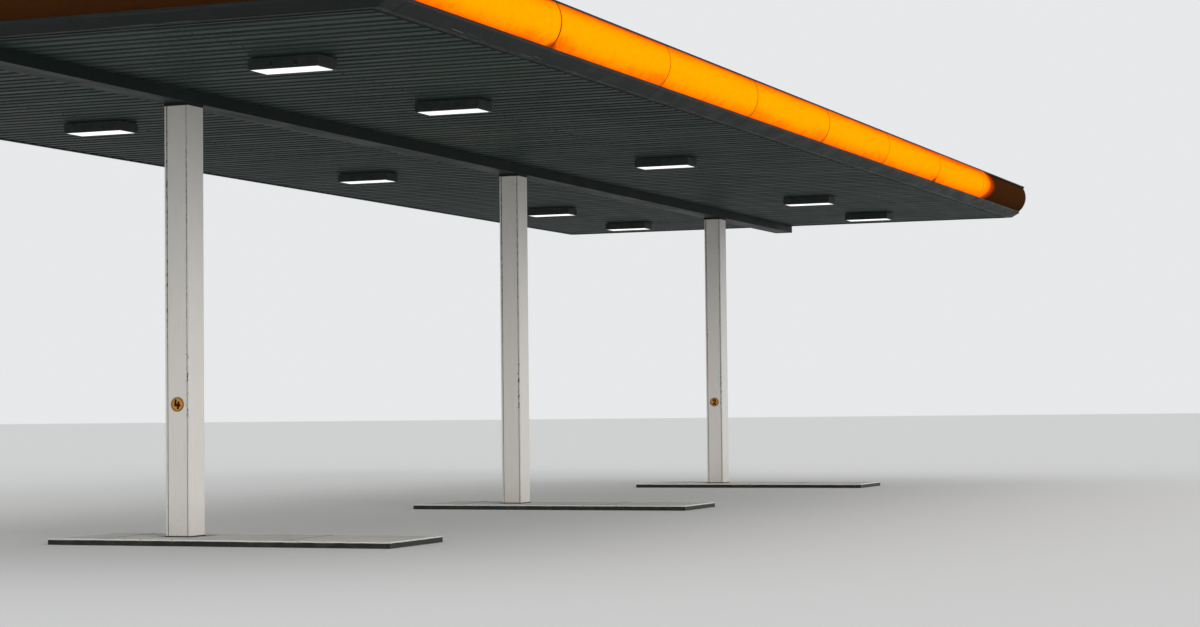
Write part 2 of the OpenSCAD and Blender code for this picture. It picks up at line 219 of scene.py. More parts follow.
def soffit_paint():
    """Near-black sheet in painted shade: dusty flats, every second paler, shaded rib hollows, stained
    laps.
    """
    f = Finish("soffit_paint", Specular_IOR_Level=0.12)
    x, _, z = f.axes()
    cloud = f.noise(0.55, 4)
    run = f.noise(3.0, 3, stretch=(6.0, 0.35, 1))
    speck = f.noise(60, 2)
    pair = f.repeat(x - FIRST_FLAT, 2 * RIB_PITCH)
    lap_line = f.between(pair, RIB_PITCH - 0.003, RIB_PITCH)
    groove = f.between(z, SOFFIT_Z + 0.002, SOFFIT_Z + 0.024)
    dust = f.between(cloud + 0.35 * run, 0.5, 0.85)
    # painted shade: near-black colours stand in for the shade under the roof
    colour = f.mix(dust, rgb(0.0140, 0.0255, 0.0215), rgb(0.0245, 0.0405, 0.0345))
    colour = f.mix(f.between(pair, 0.10, 0.07, 0, 0.45), colour, rgb(0.033, 0.052, 0.045))
    colour = f.mix(f.between(f.noise(0.28, 2), 0.52, 0.68, 0, 0.3), colour, rgb(0.038, 0.033, 0.025))
    # painted shade in the ribs' hollows
    colour = f.mix(0.75 * groove, colour, rgb(0.005, 0.008, 0.007))
    colour = f.mix(0.5 * lap_line, colour, rgb(0.012, 0.014, 0.014))
    colour = f.mix(f.between(speck, 0.66, 0.74, 0, 0.4), colour, rgb(0.070, 0.080, 0.075))
    f.paint(colour, f.between(run, 0.3, 0.8, 0.5, 0.68))
    f.relief(f.noise(2.2, 2, stretch=(1, 0.4, 1)) + 0.04 * speck, 0.004)
    return f.material


def casing_paint():
    """Near-black casing in painted shade, with dust along its edges."""
    f = Finish("casing_paint", Specular_IOR_Level=0.12)
    streak = f.noise(2.0, 4, stretch=(0.6, 3, 1))
    # painted shade: near-black colours stand in for the shade under the roof
    colour = f.mix(f.between(streak, 0.45, 0.8), rgb(0.010, 0.016, 0.015), rgb(0.019, 0.027, 0.025))
    colour = f.mix(0.5 * f.edges(0.006), colour, rgb(0.055, 0.062, 0.058))
    f.paint(colour, f.between(streak, 0.3, 0.8, 0.5, 0.68))
    f.relief(f.noise(1.6, 2) + 0.03 * f.noise(90, 2), 0.003, corner=0.003)
    return f.material


# Height of the middle of the patch where each column's paint is worn through
WORN_HEIGHT = 1.55


def column_paint():
    """Pale grey gloss on steel: orange peel, faint runs, painted shade in grooves, sparse rust there
    and at the foot.
    """
    f = Finish("column_paint", Specular_IOR_Level=0.45)
    _, y, z = f.axes()
    run = f.noise(9.0, 4, stretch=(6, 6, 0.30))
    blotch = f.noise(2.4, 4)
    chip = f.noise(52, 3, stretch=(1, 1, 0.4))
    groove = f.between(abs(abs(y) - COLUMN_GROOVE), 0.009, 0.003)
    grime = f.between(run + 0.3 * blotch, 0.62, 0.95)
    colour = f.mix(0.32 * grime, rgb(0.71, 0.69, 0.66), rgb(0.55, 0.53, 0.495))
    colour = f.mix(f.between(f.noise(110, 2), 0.55, 0.72, 0, 0.35), colour, rgb(0.58, 0.575, 0.55))
    colour = f.mix(f.between(blotch, 0.56, 0.74, 0, 0.4), colour, rgb(0.76, 0.72, 0.68))
    foot = f.between(z + 0.35 * blotch, 0.70, 0.20)
    colour = f.mix(0.30 * foot, colour, rgb(0.40, 0.37, 0.325))
    # painted shade darkens the grooves beside the flange tips
    colour = f.mix(0.28 * groove, colour, rgb(0.30, 0.27, 0.24))
    patch = f.between(f.noise(1.1, 2), 0.36, 0.56, 0.35, 1)
    bared = f.between(abs(z - WORN_HEIGHT), 0.42, 0.22) * f.between(abs(y + COLUMN_GROOVE), 0.02, 0.012)
    high = f.between(z + 0.8 * (blotch - 0.5), 1.9, 2.6, 0.12, 1)
    rust = groove * f.between(chip, 0.50, 0.58) * patch * high
    rust = rust.maths("MAXIMUM", bared * f.between(chip, 0.55, 0.61))
    base_rust = f.between(z + 0.05 * chip, 0.108, 0.082) * f.between(chip, 0.42, 0.58)
    splash = f.between(chip, 0.66, 0.72, 0, 0.5) * f.between(z, 0.6, 0.1)
    rust = rust.maths("MAXIMUM", base_rust).maths("MAXIMUM", splash)
    colour = f.mix(rust, colour, rgb(0.075, 0.032, 0.016))
    f.paint(colour, f.between(grime, 0, 1, 0.36, 0.6))
    height = 0.5 * f.noise(4, 2, stretch=(1, 1, 0.5)) + 0.06 * f.noise(160, 2) - 0.25 * rust
    f.relief(height, 0.004, corner=0.003)
    return f.material


def frame_paint():
    """Matt primer on the hidden steel."""
    f = Finish("frame_paint", Specular_IOR_Level=0.3)
    blotch = f.noise(3.0, 4)
    colour = f.mix(f.between(blotch, 0.4, 0.7), rgb(0.13, 0.14, 0.145), rgb(0.17, 0.165, 0.155))
    colour = f.mix(0.5 * f.edges(0.004), colour, rgb(0.20, 0.12, 0.07))
    f.paint(colour, f.between(blotch, 0.3, 0.7, 0.6, 0.8))
    f.relief(f.noise(120, 2), 0.0006)
    return f.material


def zinc():
    """Galvanised sheet with its spangle and white bloom."""
    f = Finish("zinc", Metallic=0.85)
    spangle = f.node("ShaderNodeTexVoronoi", None, {"Vector": f.place(), "Scale": 55.0}).out("Color")
    grey = f.node("ShaderNodeSeparateColor", None, {0: spangle})
    bloom = f.between(f.noise(5, 4), 0.5, 0.75)
    colour = f.mix(grey, rgb(0.36, 0.38, 0.40), rgb(0.50, 0.52, 0.53))
    colour = f.mix(0.6 * bloom, colour, rgb(0.58, 0.59, 0.58))
    f.paint(colour, f.between(grey, 0, 1, 0.34, 0.5) + 0.2 * bloom)
    f.relief(f.noise(90, 2), 0.0004)
    return f.material


def roof_sheet():
    """Coated roof sheet, dusty in its pans and streaked down its slope."""
    f = Finish("roof_sheet", Specular_IOR_Level=0.3)
    x, y, _ = f.axes()
    run = f.noise(6, 5, stretch=(5, 0.16, 1))
    patch = f.noise(0.9, 5)
    fine = f.noise(48, 3)
    lap = f.between(f.repeat(x - FIRST_FLAT, 2 * RIB_PITCH), RIB_PITCH - 0.004, RIB_PITCH)
    silt = f.between(abs(y) + 0.45 * patch + 0.25 * run, 1.05, 0.35)
    lichen = f.between(f.noise(20, 5), 0.62, 0.68) * f.between(patch, 0.46, 0.58)
    colour = f.mix(f.between(run, 0.35, 0.75), rgb(0.27, 0.275, 0.27), rgb(0.335, 0.34, 0.33))
    colour = f.mix(f.between(patch + 0.2 * fine, 0.6, 0.85, 0, 0.55), colour, rgb(0.20, 0.195, 0.17))
    colour = f.mix(0.75 * silt, colour, rgb(0.125, 0.115, 0.09))
    colour = f.mix(0.6 * lichen, colour, rgb(0.34, 0.35, 0.27))
    colour = f.mix(0.5 * lap, colour, rgb(0.1, 0.1, 0.1))
    f.paint(colour, f.between(run, 0.3, 0.8, 0.55, 0.75))
    f.relief(f.noise(1.4, 2) + 0.06 * fine + 0.1 * lichen, 0.002)
    return f.material


# Painted highlights, glints on the rail's underside along the front: middle, half length and strength
# of each
RAIL_GLINTS = ((-10.28, 0.15, 1.0), (-9.96, 0.16, 0.35), (-8.59, 0.11, 0.8))
GLINT_OUT, GLINT_SLANT = 0.017, 0.03


def trim_paint():
    """Near-black rail and coping, a little dusty, worn on its folds, with painted glints at the front.
    """
    f = Finish("trim_paint", Specular_IOR_Level=0.14)
    x, y, _ = f.axes()
    run = f.noise(3, 4, stretch=(1, 1, 3))
    colour = f.mix(f.between(run, 0.45, 0.8), rgb(0.011, 0.014, 0.0145), rgb(0.021, 0.025, 0.0245))
    worn = f.edges(0.004)
    scuff = worn * f.between(f.noise(1.4, 3), 0.58, 0.66)
    colour = f.mix(0.18 * worn, colour, rgb(0.07, 0.072, 0.068))
    colour = f.mix(0.35 * scuff, colour, rgb(0.36, 0.35, 0.33))
    # painted highlight: thin light streaks stand in for glints of light along the front fold
    for middle, half, share in RAIL_GLINTS:
        drift = abs(y + HALF_WIDTH + GLINT_OUT - GLINT_SLANT * (x - middle))
        within = f.between(abs(x - middle), half, half - 0.06, 0, share)
        colour = f.mix(f.between(drift, 0.0036, 0.0018) * within, colour, rgb(0.15, 0.15, 0.14))
    f.paint(colour, f.between(run, 0.3, 0.8, 0.5, 0.68))
    f.relief(f.noise(2.0, 2) + 0.03 * f.noise(90, 2), 0.003, corner=0.002)
    return f.material


def box_white():
    """White inside of the light box, yellowed by its lamps."""
    f = Finish("box_white")
    stain = f.noise(4, 4)
    colour = f.mix(f.between(stain, 0.4, 0.8), rgb(0.74, 0.73, 0.68), rgb(0.60, 0.56, 0.46))
    f.paint(colour, f.between(stain, 0.3, 0.8, 0.5, 0.7))
    f.relief(f.noise(60, 2), 0.0005)
    return f.material


def former_paint():
    """Dark brown paint of the light box's joints and of the number plates' figures."""
    f = Finish("former_paint", Specular_IOR_Level=0.0)
    stain = f.noise(24, 3)
    colour = f.mix(f.between(stain, 0.4, 0.7), rgb(0.036, 0.012, 0.005), rgb(0.066, 0.022, 0.008))
    f.paint(colour, f.between(stain, 0.3, 0.8, 0.5, 0.7))
    f.relief(f.noise(80, 2), 0.0005)
    return f.material


# Where the front's glow stops, and how far that edge bends back at its top and foot
GLOW_END = LAST_JOINT + 0.49
GLOW_ROUND = 0.30
# Each joint of the lit panels: how dark it is, the dirt before and behind it, the stain at its foot
JOINT_DIRT = [
    (0.9, 0.15, 0.9, 0.9), (0.0, 0.9, 0.1, 0.2), (0.25, 0.1, 0.7, 0.2), (0.5, 0.6, 0.3, 0.4),
    (0.05, 0.6, 0.1, 0.1), (0.3, 0.3, 0.5, 1.0), (0.1, 0.4, 0.2, 0.2),
]


def fascia_glow():
    """Translucent amber panels lit from behind: redder at their edges, unlit at the roof's ends."""
    f = Finish("fascia_glow", Emission_Strength=1.0, Specular_IOR_Level=0.0)
    x, y, z = f.axes()
    low, high = FASCIA_LOW.z, FASCIA_HIGH.z
    rise = (z - low) * (1 / (high - low))
    wave = f.noise(2.6, 3)
    cloud = f.noise(0.8, 3)
    fade = f.between(x, 1.5, 7.0)
    depth = 1 - abs(2 * rise - 0.97) + 0.16 * (wave - 0.5) + 0.10 * (cloud - 0.5)
    depth = depth - 0.15 * fade * f.between(rise, 0.35, 0.80)
    glow = f.node("ShaderNodeValToRGB", {"stops": [
        (0.0, rgb(0.78, 0.070, 0.0)),
        (0.06, rgb(0.95, 0.150, 0.0)),
        (0.16, rgb(1.0, 0.245, 0.0)),
        (0.36, rgb(1.0, 0.330, 0.0)),
        (0.60, rgb(1.0, 0.380, 0.0)),
        (1.0, rgb(1.0, 0.395, 0.0)),
    ]}, {0: depth})
    along = f.repeat(x, FRONT_PANEL)
    after = (x * (1 / FRONT_PANEL)).maths("FRACT") * FRONT_PANEL
    mottle = f.noise(11, 4)
    glow = f.mix(f.between(mottle, 0.42, 0.68, 0, 0.14) + 0.10 * fade, glow, rgb(0.95, 0.180, 0.0))
    spans = len(JOINT_DIRT) - 1
    joint = f.node("ShaderNodeValToRGB", {
        "stops": [(n / spans, share) for n, share in enumerate(JOINT_DIRT)],
    }, {0: (x + spans / 2 * FRONT_PANEL) * (1 / (spans * FRONT_PANEL))})
    shares = f.node("ShaderNodeSeparateColor", None, {0: joint})
    low_down = f.between(rise + 0.35 * (wave - 0.5), 0.42, 0.06) * f.between(mottle, 0.30, 0.62, 0.4, 1)
    ragged = after + 0.5 * (wave - 0.5)
    before_it = f.between(ragged, FRONT_PANEL - 0.95, FRONT_PANEL - 0.15)
    behind_it = f.between(ragged, 0.85, 0.10)
    glow = f.mix(low_down * before_it * shares.out("Green"), glow, rgb(0.66, 0.135, 0.004))
    glow = f.mix(low_down * behind_it * shares.out("Blue"), glow, rgb(0.95, 0.125, 0.0))
    specks = f.between(rise, 0.26, 0.03) * f.between(f.noise(7, 5), 0.50, 0.64, 0, 0.55)
    glow = f.mix(specks, glow, rgb(0.60, 0.095, 0.002))
    crown = f.between(rise + 0.12 * (wave - 0.5), 0.76, 0.95) * f.between(after, 1.1, 0.2, 0, 0.6)
    glow = f.mix(crown, glow, rgb(0.92, 0.150, 0.0))
    glow = f.mix(f.between(along, 0.07, 0.0, 0, 0.2), glow, rgb(0.90, 0.20, 0.0))
    glow = f.mix(f.between(along, 0.020, 0.006) * shares, glow, rgb(0.22, 0.030, 0.0))
    blot = f.between(along + 0.8 * rise, 0.17, 0.05) * f.between(mottle, 0.25, 0.5, 0.5, 1)
    glow = f.mix(blot * joint.out("Alpha"), glow, rgb(0.16, 0.010, 0.0))
    past = x - GLOW_END + GLOW_ROUND * (2 * rise - 1).maths("POWER", 2.0)
    front = f.between(y, -3.0, -3.4)
    end = f.between(abs(x), HALF_LENGTH - 0.12, HALF_LENGTH + 0.06)
    glow = f.mix(f.between(past, -0.42, -0.12) * front, glow, rgb(0.90, 0.17, 0.0))
    glow = f.mix(f.between(past, -0.13, 0.04) * front, glow, rgb(0.25, 0.016, 0.0))
    off = (f.between(past, -0.02, 0.36) * front).maths("MAXIMUM", end)
    glow = f.mix(off, glow, rgb(0.0, 0.0, 0.0))
    dirt = f.between(f.noise(5, 5, stretch=(1, 1, 2)), 0.5, 0.8)
    lit = f.mix(0.4 * dirt, rgb(0.30, 0.040, 0.0), rgb(0.22, 0.030, 0.0))
    unlit = f.mix(0.6 * dirt, rgb(0.046, 0.0155, 0.0045), rgb(0.026, 0.0115, 0.0060))
    f.paint(f.mix(off, lit, unlit), f.between(dirt, 0, 1, 0.34, 0.5), Emission_Color=glow)
    f.relief(f.noise(1.3, 2), 0.006)
    return f.material


def lamp_paint():
    """Dark luminaire housings with scuffed corners and dusty sides."""
    f = Finish("lamp_paint", Specular_IOR_Level=0.3)
    stain = f.noise(12, 4)
    colour = f.mix(f.between(stain, 0.4, 0.75), rgb(0.020, 0.027, 0.026), rgb(0.036, 0.043, 0.040))
    colour = f.mix(0.5 * f.edges(0.004), colour, rgb(0.10, 0.105, 0.10))
    f.paint(colour, f.between(stain, 0.3, 0.8, 0.42, 0.6))
    f.relief(f.noise(150, 2), 0.0006, corner=0.003)
    return f.material


def lamp_lens():
    """Fluted diffuser lit from behind: brightest on its flutes, greyer between them and with dust."""
    f = Finish("lamp_lens", Emission_Strength=1.0, Roughness=0.4)
    _, _, z = f.axes()
    dust = f.between(f.noise(7, 4), 0.4, 0.7)
    crest = f.between(z, LAMP_BASE - 0.0009, LAMP_BASE - 0.0022)
    glow = f.mix(crest, rgb(0.58, 0.60, 0.60), rgb(1.0, 1.0, 0.985))
    glow = f.mix(0.25 * dust, glow, rgb(0.74, 0.74, 0.70))
    f.paint(f.mix(dust, rgb(0.50, 0.50, 0.49), rgb(0.42, 0.42, 0.40)), Emission_Color=glow)
    f.relief(f.noise(220, 2), 0.0004)
    return f.material


def number_disc():
    """Ochre enamel plate, browner towards its rim."""
    f = Finish("number_disc", Specular_IOR_Level=0.2)
    _, y, z = f.axes()
    stain = f.noise(30, 4)
    rim = (y * y + (z - PLATE_HEIGHT) * (z - PLATE_HEIGHT)).maths("SQRT")
    colour = f.mix(f.between(stain, 0.35, 0.7), rgb(0.53, 0.225, 0.032), rgb(0.61, 0.285, 0.055))
    colour = f.mix(f.between(rim, 0.048, 0.062, 0, 0.75), colour, rgb(0.20, 0.085, 0.018))
    f.paint(colour, f.between(stain, 0.3, 0.8, 0.35, 0.5))
    f.relief(f.noise(60, 2), 0.0005)
    return f.material


def concrete():
    """Float-finished concrete: aggregate, pores, oil stains, and rusty water round the columns."""
    f = Finish("concrete", Specular_IOR_Level=0.3)
    x, y, _ = f.axes()
    cloud = f.noise(1.6, 6)
    grain = f.noise(190, 4)
    sweep = f.noise(3.5, 3, stretch=(5, 1, 1))
    stones = f.node("ShaderNodeTexVoronoi", None, {"Vector": f.place(), "Scale": 120.0}).out("Color")
    stone = f.node("ShaderNodeSeparateColor", None, {0: stones})
    pores = f.node("ShaderNodeTexVoronoi", None, {"Vector": f.place(), "Scale": 42.0})
    colour = f.mix(f.between(cloud, 0.35, 0.7), rgb(0.60, 0.585, 0.55), rgb(0.70, 0.685, 0.65))
    colour = f.mix(f.between(stone, 0.70, 0.95, 0, 0.4), colour, rgb(0.40, 0.385, 0.36))
    colour = f.mix(f.between(grain, 0.42, 0.75, 0, 0.35), colour, rgb(0.45, 0.44, 0.41))
    colour = f.mix(f.between(sweep, 0.45, 0.75, 0, 0.3), colour, rgb(0.50, 0.49, 0.46))
    colour = f.mix(f.between(pores, 0.12, 0.05, 0, 0.8), colour, rgb(0.20, 0.19, 0.17))
    oil = f.between(f.noise(0.9, 3) + 0.1 * cloud, 0.66, 0.76, 0, 0.5)
    colour = f.mix(oil, colour, rgb(0.30, 0.28, 0.25))
    beside = f.repeat(x, COLUMNS[2]).maths("MAXIMUM", abs(y))
    beside = beside + 0.5 * (cloud - 0.5) + 0.12 * (sweep - 0.5)
    colour = f.mix(f.between(beside, 0.26, 0.13, 0, 0.75), colour, rgb(0.19, 0.115, 0.07))
    f.paint(colour, f.between(grain, 0.3, 0.8, 0.75, 0.92))
    f.relief(0.3 * grain + 0.5 * f.between(pores, 0.02, 0.12) + 0.2 * sweep, 0.0016, corner=0.004)
    return f.material


def nosing_steel():
    """Steel nosing: lighter on top from wear and painted highlight, its upright leg darkened by painted
    shade.
    """
    f = Finish("nosing_steel", Metallic=0.3, Specular_IOR_Level=0.3)
    _, _, z = f.axes()
    wear = f.noise(7, 5, stretch=(1, 1, 2))
    # painted light: a bright copy of the steel for the top, partly wear, and a near-black copy for the
    # shaded leg
    top = f.between(z + 0.012 * (wear - 0.5), 0.046, 0.051)
    bright = f.mix(f.between(wear, 0.4, 0.7), rgb(0.78, 0.765, 0.73), rgb(0.62, 0.60, 0.55))
    dark = f.mix(f.between(wear, 0.4, 0.7), rgb(0.016, 0.019, 0.018), rgb(0.034, 0.034, 0.030))
    rust = f.between(f.noise(18, 4), 0.60, 0.70, 0, 0.7) * f.between(z, 0.040, 0.058, 0.3, 1)
    f.paint(f.mix(rust, f.mix(top, dark, bright), rgb(0.16, 0.075, 0.035)),
            f.between(wear, 0.3, 0.8, 0.36, 0.62))
    f.relief(wear + 0.3 * rust, 0.0015, corner=0.003)
    return f.material


FINISHES = {
    "concrete": concrete(), "nosing_steel": nosing_steel(), "column_paint": column_paint(),
    "frame_paint": frame_paint(), "casing_paint": casing_paint(), "soffit_paint": soffit_paint(),
    "zinc": zinc(), "roof_sheet": roof_sheet(), "former_paint": former_paint(),
    "trim_paint": trim_paint(), "box_white": box_white(), "fascia_lit": fascia_glow(),
    "lamp_paint": lamp_paint(), "lamp_lens": lamp_lens(), "number_disc": number_disc(),
}
FINISHES["fascia_dark"] = FINISHES["fascia_lit"]

for subpart in frame["record"]["subparts"]:
    slots = frame["nodes"][subpart["node"]].data.materials
    slots.clear()
    slots.append(FINISHES[subpart["material_slot"]])


# ---- Making pieces ----

def made(name, points, faces):
    """A closed mesh with its faces turned outwards, as an object at the origin."""
    mesh = bpy.data.meshes.new(name)
    mesh.from_pydata([tuple(p) for p in points], [], faces)
    shell = bmesh.new()
    shell.from_mesh(mesh)
    bmesh.ops.recalc_face_normals(shell, faces=shell.faces)
    shell.to_mesh(mesh)
    shell.free()
    item = bpy.data.objects.new(name, mesh)
    bpy.context.scene.collection.objects.link(item)
    return item


def keep(item, slot):
    """Gives a finished piece its material and its body."""
    if not item.data.materials:
        item.data.materials.append(FINISHES[slot])
    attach(item, "root")
    return item


def bar(name, section, width):
    """A closed section in Y and Z, run along X through a width."""
    count = len(section)
    points = [(x, y, z) for x in (-width / 2, width / 2) for y, z in section]
    faces = [list(range(count)), list(range(2 * count - 1, count - 1, -1))]
    faces += [[i, (i + 1) % count, count + (i + 1) % count, count + i] for i in range(count)]
    return made(name, points, faces)


def surround(name, half_x, half_y, section, centres):
    """A closed section of (outwards, height) run round rectangles, with mitred corners."""
    points, faces, count = [], [], len(section)
    for cx, cy in centres:
        first = len(points)
        for sx, sy in ((-1, -1), (1, -1), (1, 1), (-1, 1)):
            points += [(cx + sx * (half_x + out), cy + sy * (half_y + out), z) for out, z in section]
        for corner in range(4):
            this, after = first + corner * count, first + (corner + 1) % 4 * count
            faces += [[this + i, this + (i + 1) % count, after + (i + 1) % count, after + i]
                      for i in range(count)]
    return made(name, points, faces)


def turned(name, rings, sides, hollow=False):
    """Rings of (radius, height) about Z: a capped solid, or a hollow ring that closes on itself."""
    angles = [2 * math.pi * i / sides for i in range(sides)]
    points = [(radius * math.cos(a), radius * math.sin(a), height)
              for radius, height in rings for a in angles]
    steps = [(n, n + 1) for n in range(len(rings) - 1)] + ([(len(rings) - 1, 0)] if hollow else [])
    faces = []
    for low, high in steps:
        faces += [[low * sides + i, low * sides + (i + 1) % sides, high * sides + (i + 1) % sides,
                   high * sides + i] for i in range(sides)]
    if not hollow:
        faces += [list(range(sides)), list(range((len(rings) - 1) * sides, len(rings) * sides))]
    return made(name, points, faces)


class Plan:
    """A Geometry Nodes tree under construction, with its named inputs."""

    def __init__(self, name, **kinds):
        self.tree = bpy.data.node_groups.new(name, "GeometryNodeTree")
        self.given = {label: self.socket(label, kind, "INPUT") for label, kind in kinds.items()}
        self.socket("Geometry", "Geometry", "OUTPUT")
        self.entry = self.tree.nodes.new("NodeGroupInput")

    def socket(self, name, kind, into):
        plug = self.tree.interface.new_socket(name, in_out=into, socket_type="NodeSocket" + kind)
        return plug.identifier

    def input(self, name):
        return self.entry.outputs[name]

    def fill(self, plug, value):
        """Links a socket to an input, or sets the input to a value."""
        if isinstance(value, bpy.types.NodeSocket):
            self.tree.links.new(value, plug)
        else:
            plug.default_value = value

    def node(self, kind, settings=None, output=0, **sockets):
        """Adds a node, in whose socket names _ stands for a space, and returns one of its outputs."""
        added = self.tree.nodes.new(kind)
        for name, value in (settings or {}).items():
            setattr(added, name, value)
        for name, value in sockets.items():
            self.fill(added.inputs[name.replace("_", " ")], value)
        return added.outputs[output]

    def maths(self, operation, first, second):
        result = self.node("ShaderNodeMath", {"operation": operation})
        self.fill(result.node.inputs[0], first)
        self.fill(result.node.inputs[1], second)
        return result

    def joined(self, *shapes):
        join = self.tree.nodes.new("GeometryNodeJoinGeometry")
        for shape in shapes:
            self.tree.links.new(shape, join.inputs[0])
        return join.outputs[0]

    def finish(self, instances, material):
        """Ends the tree in real, finished geometry."""
        real = self.node("GeometryNodeRealizeInstances", Geometry=instances)
        painted = self.node("GeometryNodeSetMaterial", Geometry=real, Material=material)
        exit_node = self.tree.nodes.new("NodeGroupOutput")
        self.tree.links.new(painted, exit_node.inputs[0])

    def grow(self, host, **values):
        """Runs the tree on a host mesh and leaves its result there as a plain mesh."""
        modifier = host.modifiers.new("plan", "NODES")
        modifier.node_group = self.tree
        for name, value in values.items():
            modifier[self.given[name]] = value
        shown = host.evaluated_get(bpy.context.evaluated_depsgraph_get())
        host.data = bpy.data.meshes.new_from_object(shown)
        host.modifiers.clear()
        return host


def rows_plan():
    """Sets a part out in rows from the host's points, each row turned as its point says."""
    p = Plan("rows_of_parts", Starts="Geometry", Part="Object", Spacing="Float", Count="Int",
             Wobble="Float", Finish="Material")
    turn = p.node("GeometryNodeInputNamedAttribute", {"data_type": "FLOAT_VECTOR"}, Name="turn")
    step = p.node("ShaderNodeCombineXYZ", X=p.input("Spacing"))
    row = p.node("GeometryNodeMeshLine", {"mode": "OFFSET"}, Count=p.input("Count"), Offset=step)
    starts = p.input("Starts")
    rows = p.node("GeometryNodeInstanceOnPoints", Points=starts, Instance=row, Rotation=turn)
    places = p.node("GeometryNodeRealizeInstances", Geometry=rows)
    wobble = p.node("FunctionNodeRandomValue", {"data_type": "FLOAT"}, 1, Seed=11)
    least, most = wobble.node.inputs[2:4]
    p.fill(least, p.maths("MULTIPLY", p.input("Wobble"), -1.0))
    p.fill(most, p.input("Wobble"))
    spin = p.node("ShaderNodeCombineXYZ", Z=wobble)
    facing = p.node("FunctionNodeRotateRotation", {"rotation_space": "LOCAL"},
                    Rotation=turn, Rotate_By=spin)
    shape = p.node("GeometryNodeObjectInfo", Object=p.input("Part")).node.outputs["Geometry"]
    copies = p.node("GeometryNodeInstanceOnPoints", Points=places, Instance=shape, Rotation=facing)
    p.finish(copies, p.input("Finish"))
    return p


def strainer_plan():
    """A domed wire basket on each of the host's points: bent wires between a foot ring and a crown."""
    p = Plan("wire_strainer", Places="Geometry", Radius="Float", Height="Float", Wires="Int",
             Wire="Float", Finish="Material")
    foot = p.node("ShaderNodeCombineXYZ", X=p.input("Radius"))
    shoulder = p.node("ShaderNodeCombineXYZ", X=p.input("Radius"), Z=p.input("Height"))
    crown = p.node("ShaderNodeCombineXYZ", Z=p.input("Height"))
    bent = p.node("GeometryNodeCurveQuadraticBezier", Resolution=8,
                  Start=foot, Middle=shoulder, End=crown)
    hub = p.node("GeometryNodeMeshCircle", Vertices=p.input("Wires"), Radius=0.0001)
    share = p.maths("DIVIDE", p.node("GeometryNodeInputIndex"), p.input("Wires"))
    about = p.node("ShaderNodeCombineXYZ", Z=p.maths("MULTIPLY", share, 2 * math.pi))
    ribs = p.node("GeometryNodeInstanceOnPoints", Points=hub, Instance=bent, Rotation=about)
    ring = p.node("GeometryNodeCurvePrimitiveCircle", Resolution=24, Radius=p.input("Radius"))
    section = p.node("GeometryNodeCurvePrimitiveCircle", Resolution=6, Radius=p.input("Wire"))
    paths = p.node("GeometryNodeRealizeInstances", Geometry=p.joined(ribs, ring))
    wires = p.node("GeometryNodeCurveToMesh", Curve=paths, Profile_Curve=section, Fill_Caps=True)
    p.finish(p.node("GeometryNodeInstanceOnPoints", Points=p.input("Places"), Instance=wires),
             p.input("Finish"))
    return p


ROWS = rows_plan()


def starts_host(name, starts):
    """A mesh of loose points that carry their turns."""
    host_mesh = bpy.data.meshes.new(name)
    host_mesh.from_pydata([tuple(place) for place, _ in starts], [], [])
    turns = host_mesh.attributes.new("turn", "FLOAT_VECTOR", "POINT")
    for point, (_, turn) in zip(turns.data, starts):
        point.vector = turn
    host = bpy.data.objects.new(name, host_mesh)
    bpy.context.scene.collection.objects.link(host)
    return host


def set_out(name, part, slot, starts, spacing=0.0, count=1, wobble=0.0):
    """A finished piece made of copies of a part, in rows from (place, turn) starts."""
    host = ROWS.grow(starts_host(name, starts), Part=part, Spacing=spacing, Count=count,
                     Wobble=wobble, Finish=FINISHES[slot])
    if "turn" in host.data.attributes:
        host.data.attributes.remove(host.data.attributes["turn"])
    return keep(host, slot)


# ---- The four sides of the roof ----

QUARTER, HALF_TURN = math.pi / 2, math.pi
SIDE_TURN = {"rear": 0.0, "near": QUARTER, "front": HALF_TURN, "far": 3 * math.pi / 2}
DOWN, UP, WEST = (HALF_TURN, 0.0, 0.0), (0.0, 0.0, 0.0), (0.0, -QUARTER, 0.0)


def on_side(side, along, out=0.0, height=0.0):
    """The place and turn of a part drawn with +Y outwards from the soffit's edge."""
    reach = HALF_WIDTH if side in ("rear", "front") else HALF_LENGTH
    turn = SIDE_TURN[side]
    place = Matrix.Rotation(turn, 3, "Z") @ Vector((along, reach + out, 0))
    return (place.x, place.y, SOFFIT_Z + height), (0.0, 0.0, turn)


def facing_out(side, along, out, height):
    """As on_side, for a part drawn with +Z outwards."""
    place, turn = on_side(side, along, out, height)
    return place, (QUARTER, 0.0, turn[2] + HALF_TURN)


def fascia_joints():
    """Each joint between light-box panels, as its side and distance along it."""
    for sides, count, panel in ((("front", "rear"), FRONT_JOINTS, FRONT_PANEL),
                                (("near", "far"), END_JOINTS, END_PANEL)):
        for side in sides:
            yield from ((side, (n - (count - 1) / 2) * panel) for n in range(count))


# ---- Parts that repeat ----

hex_screw = turned("hex_screw", [(0.009, 0), (0.009, 0.0015), (0.0053, 0.0016), (0.0053, 0.0055),
                                 (0.0044, 0.0062)], 12)
pan_screw = turned("pan_screw", [(0.0052, 0), (0.0048, 0.0012), (0.0028, 0.0022)], 10)
rivet = turned("rivet", [(0.0065, 0), (0.0058, 0.0012), (0.0032, 0.0021)], 10)
patterns = [hex_screw, pan_screw, rivet]


def pattern(item):
    """Remembers a part that only serves to be copied."""
    patterns.append(item)
    return item


# ---- Islands and columns ----

